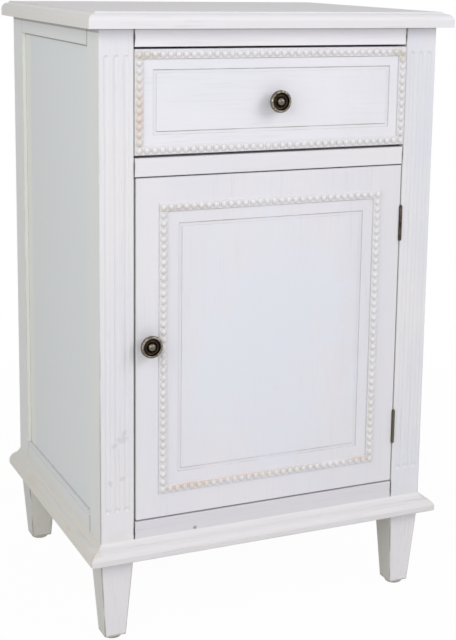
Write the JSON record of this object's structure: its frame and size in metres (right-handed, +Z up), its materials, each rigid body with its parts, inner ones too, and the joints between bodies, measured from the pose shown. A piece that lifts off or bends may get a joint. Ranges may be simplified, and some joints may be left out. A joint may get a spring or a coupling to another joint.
{
  "type": "nightstand",
  "caption": "Nightstand with a drawer above a hinged cupboard door, an inner shelf, fluted front posts, beaded trim, moulded top and base, and tapered legs.",
  "frame": {"origin": "on the floor, halfway across the width and halfway between the tips of the knobs and the back", "axes": "+X to the right seen from the front, +Y from the front to the back, +Z up; the front faces -Y"},
  "size_m": [0.4294, 0.3504, 0.6913],
  "materials": {
    "painted_wood": "antique whitewash, satin",
    "plain_wood": "sanded, unfinished",
    "plywood": "sanded, unfinished",
    "antique_bronze": "dark patina, rubbed rims",
    "aged_brass": "aged, satin",
    "steel": "zinc-plated, satin",
    "brown_plastic": "matte",
    "magnet": "matte"
  },
  "bodies": {
    "carcase": {"top_panel": "painted_wood", "front_left_post": "painted_wood", "front_right_post": "painted_wood", "back_left_post": "painted_wood", "back_right_post": "painted_wood", "apron_rail": "painted_wood", "mid_rail": "painted_wood", "sill_rail": "painted_wood", "left_top_rail": "painted_wood", "right_top_rail": "painted_wood", "left_bottom_rail": "painted_wood", "right_bottom_rail": "painted_wood", "left_side_panel": "painted_wood", "right_side_panel": "painted_wood", "front_base_moulding": "painted_wood", "left_base_moulding": "painted_wood", "right_base_moulding": "painted_wood", "front_left_leg": "painted_wood", "front_right_leg": "painted_wood", "back_left_leg": "painted_wood", "back_right_leg": "painted_wood", "back_top_rail": "plain_wood", "back_mid_rail": "plain_wood", "back_bottom_rail": "plain_wood", "left_drawer_runner": "plain_wood", "right_drawer_runner": "plain_wood", "left_kicker": "plain_wood", "right_kicker": "plain_wood", "drawer_stop_blocks": "plain_wood", "floor_bearers": "plain_wood", "shelf_cleats": "plain_wood", "cupboard_floor": "plain_wood", "shelf": "plain_wood", "back_panel": "plywood", "dust_panel": "plywood", "post_hinge_leaves": "aged_brass", "hinge_pins": "aged_brass", "top_screws": "steel", "carcase_hardware_screws": "steel", "leg_bolts": "steel", "glides": "steel", "catch_body": "brown_plastic", "catch_magnet": "magnet"},
    "drawer": {"drawer_front": "painted_wood", "drawer_beading": "painted_wood", "drawer_left_side": "plain_wood", "drawer_right_side": "plain_wood", "drawer_back": "plain_wood", "drawer_stop_tab": "plain_wood", "drawer_bottom": "plywood", "drawer_knob": "antique_bronze", "drawer_knob_screw": "steel"},
    "door": {"door_slab": "painted_wood", "door_beading": "painted_wood", "door_knob": "antique_bronze", "door_knob_screw": "steel", "strike_plate": "steel", "door_hinge_leaves": "aged_brass", "door_hardware_screws": "steel"}
  },
  "joints": [
    {"name": "drawer_slide", "type": "slide", "parent": "carcase", "child": "drawer", "axis": [0, -1, 0], "range_m": [0, 0.245]},
    {"name": "door_hinge", "type": "hinge", "parent": "carcase", "child": "door", "pos_m": [0.16125, -0.15865, 0.3288], "axis": [0, 0, 1], "range_deg": [0, 170]}
  ]
}
